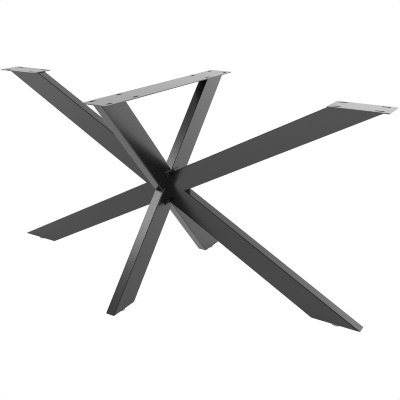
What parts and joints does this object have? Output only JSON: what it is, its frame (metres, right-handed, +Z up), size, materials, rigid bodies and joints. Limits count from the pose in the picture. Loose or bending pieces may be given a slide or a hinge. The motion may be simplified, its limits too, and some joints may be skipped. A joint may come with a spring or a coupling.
{
  "type": "table base",
  "caption": "Steel dining-table base: two crossed pairs of rectangular tubes meet at a screwed hub, with slotted plates on top and round nylon glides under the feet.",
  "frame": {"origin": "on the floor, under the middle of the hub where the tubes cross", "axes": "+X along the table towards the right end plate, +Y across it towards the back, +Z up"},
  "size_m": [1.5324, 0.7606, 0.72],
  "materials": {
    "powder_coat": "fine satin anthracite powder coat on steel tube",
    "plate_coat": "fine satin anthracite powder coat on flat plate",
    "nylon": "matt grey nylon",
    "black_steel": "blackened steel screws",
    "zinc_steel": "bright zinc-plated steel"
  },
  "bodies": {
    "root": {"right_arm": "powder_coat", "right_leg": "powder_coat", "right_end_plate": "plate_coat", "right_hub_plate": "plate_coat", "right_upper_front_screw": "black_steel", "right_upper_front_nut": "zinc_steel", "right_upper_back_screw": "black_steel", "right_upper_back_nut": "zinc_steel", "right_lower_front_screw": "black_steel", "right_lower_front_nut": "zinc_steel", "right_lower_back_screw": "black_steel", "right_lower_back_nut": "zinc_steel", "left_arm": "powder_coat", "left_leg": "powder_coat", "left_end_plate": "plate_coat", "left_hub_plate": "plate_coat", "left_upper_front_screw": "black_steel", "left_upper_front_nut": "zinc_steel", "left_upper_back_screw": "black_steel", "left_upper_back_nut": "zinc_steel", "left_lower_front_screw": "black_steel", "left_lower_front_nut": "zinc_steel", "left_lower_back_screw": "black_steel", "left_lower_back_nut": "zinc_steel", "through_beam": "powder_coat", "front_arm": "powder_coat", "back_leg": "powder_coat", "long_plate": "plate_coat", "right_foot_plate": "powder_coat", "right_glide_pad": "nylon", "right_glide_stud": "zinc_steel", "right_foot_nut": "zinc_steel", "left_foot_plate": "powder_coat", "left_glide_pad": "nylon", "left_glide_stud": "zinc_steel", "left_foot_nut": "zinc_steel", "front_foot_plate": "powder_coat", "front_glide_pad": "nylon", "front_glide_stud": "zinc_steel", "front_foot_nut": "zinc_steel", "back_foot_plate": "powder_coat", "back_glide_pad": "nylon", "back_glide_stud": "zinc_steel", "back_foot_nut": "zinc_steel"}
  },
  "joints": []
}
